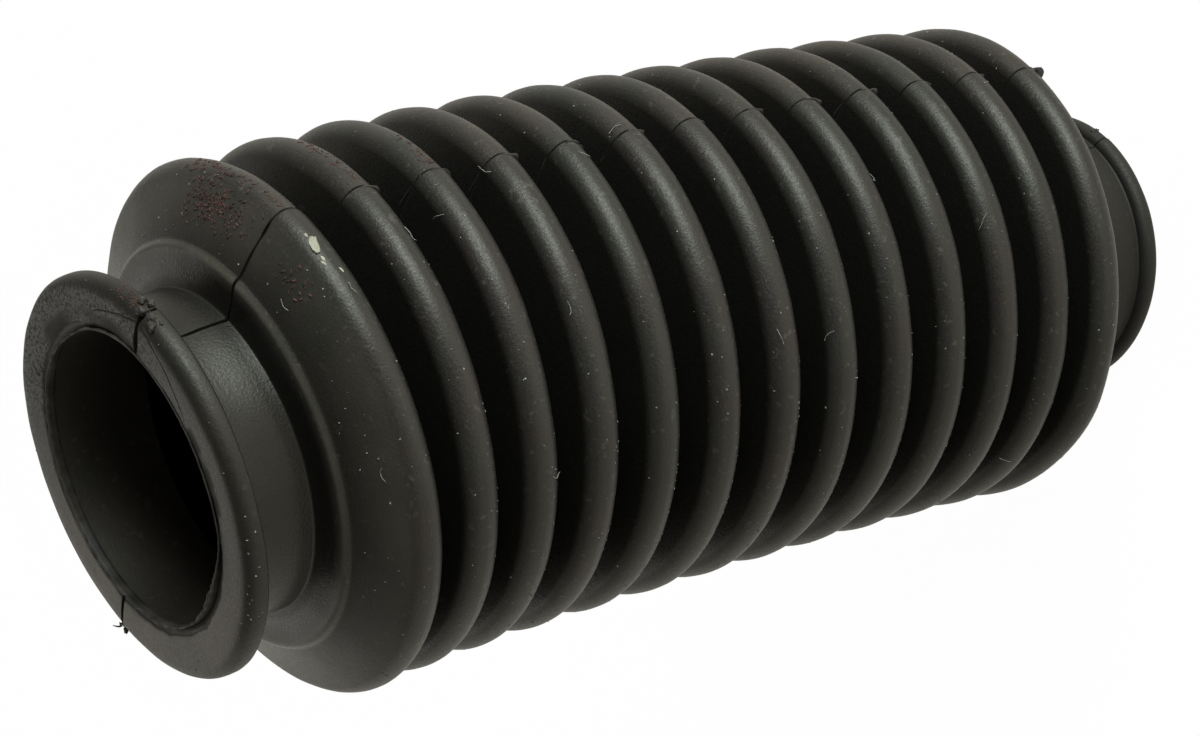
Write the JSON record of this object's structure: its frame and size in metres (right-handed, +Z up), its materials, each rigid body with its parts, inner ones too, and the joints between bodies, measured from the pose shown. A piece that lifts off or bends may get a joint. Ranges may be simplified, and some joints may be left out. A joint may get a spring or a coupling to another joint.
{
  "type": "rubber bellows boot",
  "caption": "Moulded rubber bellows boot, open right through, with round-crested folds and a lipped clip neck at each end, sagging slightly to one side.",
  "frame": {"origin": "centre of the flat end of the lower neck's lip, on the surface that the boot stands on", "axes": "+Z up the lower neck's axis; +X the way the folds sag; +Y completes a right-handed frame"},
  "size_m": [0.0802, 0.072, 0.1666],
  "materials": {
    "rubber": "satin black moulded rubber, dusty in places"
  },
  "bodies": {
    "root": {"bellows_boot": "rubber"}
  },
  "joints": []
}
